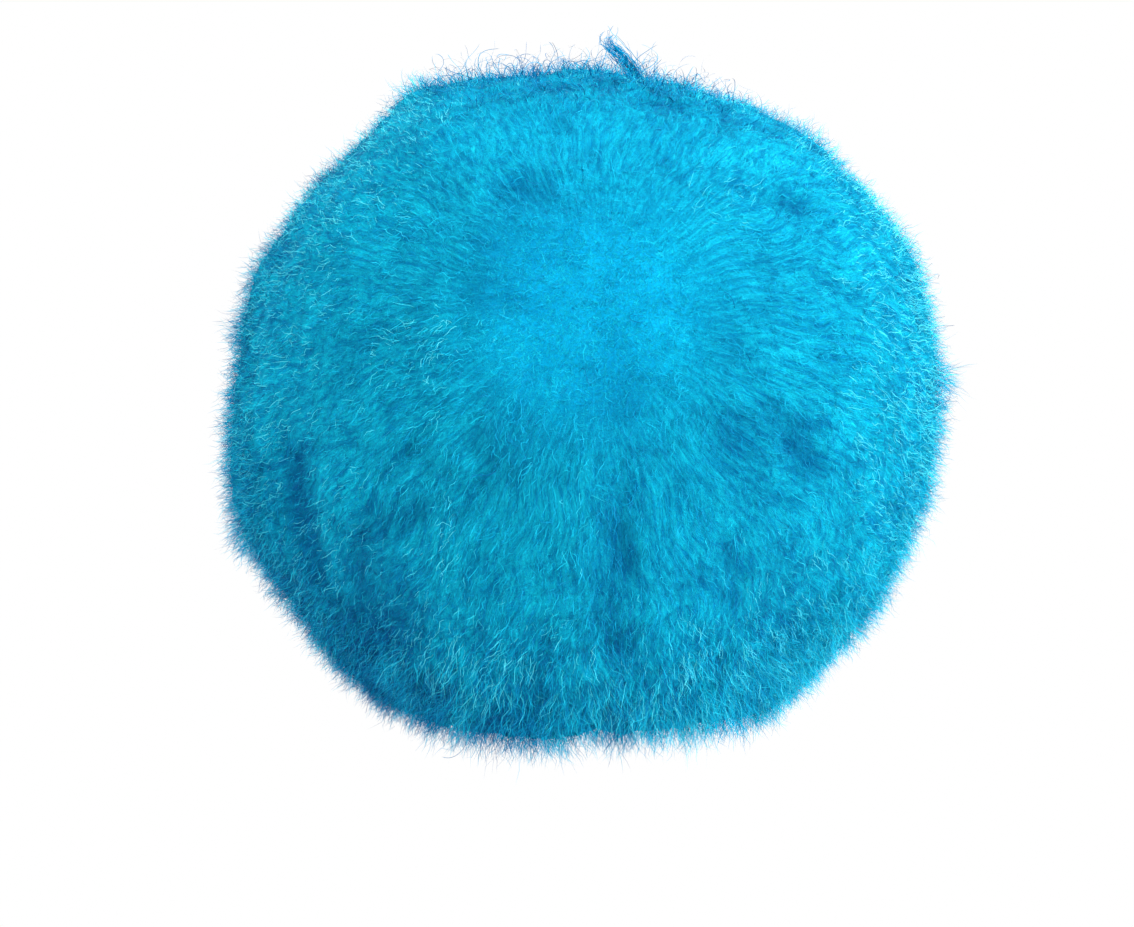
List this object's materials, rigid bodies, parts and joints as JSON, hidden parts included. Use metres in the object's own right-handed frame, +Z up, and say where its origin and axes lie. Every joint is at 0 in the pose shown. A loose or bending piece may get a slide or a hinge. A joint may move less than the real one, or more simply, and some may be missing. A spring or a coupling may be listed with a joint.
{
  "type": "afro wig",
  "caption": "Large round teased afro wig of curly blue hair on a hollow stretch cap with an elastic edge, open at the face and neck.",
  "frame": {"origin": "crown of the cap's inner face, where the top of the wearer's head sits", "axes": "+Z up out of the crown, -Y towards the face opening, +X towards the wearer's left"},
  "size_m": [0.4071, 0.3691, 0.3799],
  "materials": {
    "hair": "fine frizzy synthetic fibre",
    "cap_net": "matt stretch knit",
    "elastic": "matt ribbed elastic"
  },
  "bodies": {
    "root": {"wig_cap": "cap_net", "elastic_edge_band": "elastic", "afro_hair": "hair"}
  },
  "joints": []
}
